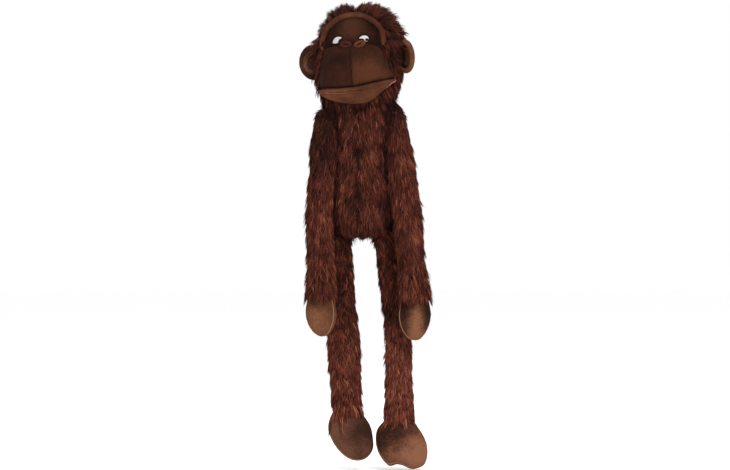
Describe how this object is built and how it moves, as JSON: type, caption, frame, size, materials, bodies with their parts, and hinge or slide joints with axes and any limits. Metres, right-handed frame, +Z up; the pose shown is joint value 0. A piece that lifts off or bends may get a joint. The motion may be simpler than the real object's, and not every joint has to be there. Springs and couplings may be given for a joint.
{
  "type": "plush monkey",
  "caption": "Long-limbed plush monkey with a broad padded muzzle, long-pile fur body and sleeves, and suede-like hands and feet; head and limbs bend at soft joints.",
  "frame": {"origin": "middle of the base of the box round the toy, under the feet, as it hangs with its limbs straight down", "axes": "+Z up, -Y the way the face looks, +X the monkey's own left"},
  "size_m": [0.1678, 0.117, 0.5919],
  "materials": {
    "fur": "long-pile plush fur, reddish dark brown, combed downwards",
    "face_suede": "short-nap suede-like plush, dark brown",
    "paw_suede": "short-nap suede-like plush, mid brown",
    "stuffing": "loose polyester fibre",
    "seam_cloth": "woven backing cloth",
    "eye_white": "satin-stitch embroidery",
    "eye_black": "satin-stitch embroidery",
    "nostril": "padded suede-like plush"
  },
  "bodies": {
    "body": {"body_front_left": "fur", "body_front_right": "fur", "body_back": "fur", "body_stuffing": "stuffing"},
    "neck": {"neck_seam": "seam_cloth"},
    "head": {"head_fur_left": "fur", "head_fur_right": "fur", "head_stuffing": "stuffing", "eye_panel": "face_suede", "muzzle_left": "face_suede", "muzzle_right": "face_suede", "muzzle_stuffing": "stuffing", "lower_lip": "face_suede", "brow_roll": "face_suede", "eye_outline_left": "eye_black", "eye_white_left": "eye_white", "pupil_left": "eye_black", "ear_front_left": "face_suede", "ear_back_left": "face_suede", "nostril_left": "nostril", "eye_outline_right": "eye_black", "eye_white_right": "eye_white", "pupil_right": "eye_black", "ear_front_right": "face_suede", "ear_back_right": "face_suede", "nostril_right": "nostril"},
    "shoulder_right": {"shoulder_seam_right": "seam_cloth"},
    "upper_arm_right": {"upper_arm_sleeve_right": "fur", "upper_arm_stuffing_right": "stuffing"},
    "forearm_right": {"forearm_sleeve_right": "fur", "forearm_stuffing_right": "stuffing"},
    "hand_right": {"hand_back_right": "paw_suede", "hand_palm_right": "paw_suede", "hand_stuffing_right": "stuffing"},
    "hip_right": {"hip_seam_right": "seam_cloth"},
    "thigh_right": {"thigh_sleeve_right": "fur", "thigh_stuffing_right": "stuffing"},
    "shin_right": {"shin_sleeve_right": "fur", "shin_stuffing_right": "stuffing"},
    "foot_right": {"foot_upper_right": "paw_suede", "foot_sole_right": "paw_suede", "foot_stuffing_right": "stuffing"},
    "shoulder_left": {"shoulder_seam_left": "seam_cloth"},
    "upper_arm_left": {"upper_arm_sleeve_left": "fur", "upper_arm_stuffing_left": "stuffing"},
    "forearm_left": {"forearm_sleeve_left": "fur", "forearm_stuffing_left": "stuffing"},
    "hand_left": {"hand_back_left": "paw_suede", "hand_palm_left": "paw_suede", "hand_stuffing_left": "stuffing"},
    "hip_left": {"hip_seam_left": "seam_cloth"},
    "thigh_left": {"thigh_sleeve_left": "fur", "thigh_stuffing_left": "stuffing"},
    "shin_left": {"shin_sleeve_left": "fur", "shin_stuffing_left": "stuffing"},
    "foot_left": {"foot_upper_left": "paw_suede", "foot_sole_left": "paw_suede", "foot_stuffing_left": "stuffing"}
  },
  "joints": [
    {"name": "neck_turn", "type": "hinge", "parent": "body", "child": "neck", "pos_m": [-0.00594, 0.00531, 0.47277], "axis": [0, 0, 1], "range_deg": [-50, 50], "stiffness_Nm_per_rad": 0.25},
    {"name": "neck_nod", "type": "hinge", "parent": "neck", "child": "head", "pos_m": [-0.00594, 0.00531, 0.47277], "axis": [0.9703, -0.2419, 0], "range_deg": [-12, 10], "stiffness_Nm_per_rad": 2},
    {"name": "shoulder_swing_right", "type": "hinge", "parent": "body", "child": "shoulder_right", "pos_m": [-0.04994, 0.00131, 0.44677], "axis": [-1, 0, 0], "range_deg": [-4, 90]},
    {"name": "shoulder_lift_right", "type": "hinge", "parent": "shoulder_right", "child": "upper_arm_right", "pos_m": [-0.04994, 0.00131, 0.44677], "axis": [0, 1, 0], "range_deg": [0, 90]},
    {"name": "elbow_right", "type": "hinge", "parent": "upper_arm_right", "child": "forearm_right", "pos_m": [-0.05844, -0.01169, 0.33477], "axis": [-1, 0, 0], "range_deg": [0, 90]},
    {"name": "wrist_right", "type": "hinge", "parent": "forearm_right", "child": "hand_right", "pos_m": [-0.05744, -0.02569, 0.22577], "axis": [-1, 0, 0], "range_deg": [-8, 60]},
    {"name": "hip_swing_right", "type": "hinge", "parent": "body", "child": "hip_right", "pos_m": [-0.03494, 0.01331, 0.29577], "axis": [-1, 0, 0], "range_deg": [-70, 4]},
    {"name": "hip_spread_right", "type": "hinge", "parent": "hip_right", "child": "thigh_right", "pos_m": [-0.03494, 0.01331, 0.29577], "axis": [0, 1, 0], "range_deg": [0, 45]},
    {"name": "knee_right", "type": "hinge", "parent": "thigh_right", "child": "shin_right", "pos_m": [-0.02944, 0.01331, 0.18177], "axis": [1, 0, 0], "range_deg": [0, 90]},
    {"name": "ankle_right", "type": "hinge", "parent": "shin_right", "child": "foot_right", "pos_m": [-0.02344, 0.01331, 0.06977], "axis": [-1, 0, 0], "range_deg": [-20, 40]},
    {"name": "shoulder_swing_left", "type": "hinge", "parent": "body", "child": "shoulder_left", "pos_m": [0.03806, 0.00131, 0.44677], "axis": [-1, 0, 0], "range_deg": [-4, 90]},
    {"name": "shoulder_lift_left", "type": "hinge", "parent": "shoulder_left", "child": "upper_arm_left", "pos_m": [0.03806, 0.00131, 0.44677], "axis": [0, -1, 0], "range_deg": [0, 90]},
    {"name": "elbow_left", "type": "hinge", "parent": "upper_arm_left", "child": "forearm_left", "pos_m": [0.05206, -0.01169, 0.33477], "axis": [-1, 0, 0], "range_deg": [0, 90]},
    {"name": "wrist_left", "type": "hinge", "parent": "forearm_left", "child": "hand_left", "pos_m": [0.06156, -0.02569, 0.22277], "axis": [-1, 0, 0], "range_deg": [-8, 60]},
    {"name": "hip_swing_left", "type": "hinge", "parent": "body", "child": "hip_left", "pos_m": [0.02806, 0.01331, 0.29577], "axis": [-1, 0, 0], "range_deg": [-70, 4]},
    {"name": "hip_spread_left", "type": "hinge", "parent": "hip_left", "child": "thigh_left", "pos_m": [0.02806, 0.01331, 0.29577], "axis": [0, -1, 0], "range_deg": [0, 45]},
    {"name": "knee_left", "type": "hinge", "parent": "thigh_left", "child": "shin_left", "pos_m": [0.04106, 0.01331, 0.17877], "axis": [1, 0, 0], "range_deg": [0, 90]},
    {"name": "ankle_left", "type": "hinge", "parent": "shin_left", "child": "foot_left", "pos_m": [0.04356, 0.01331, 0.06277], "axis": [-1, 0, 0], "range_deg": [-20, 40]}
  ]
}
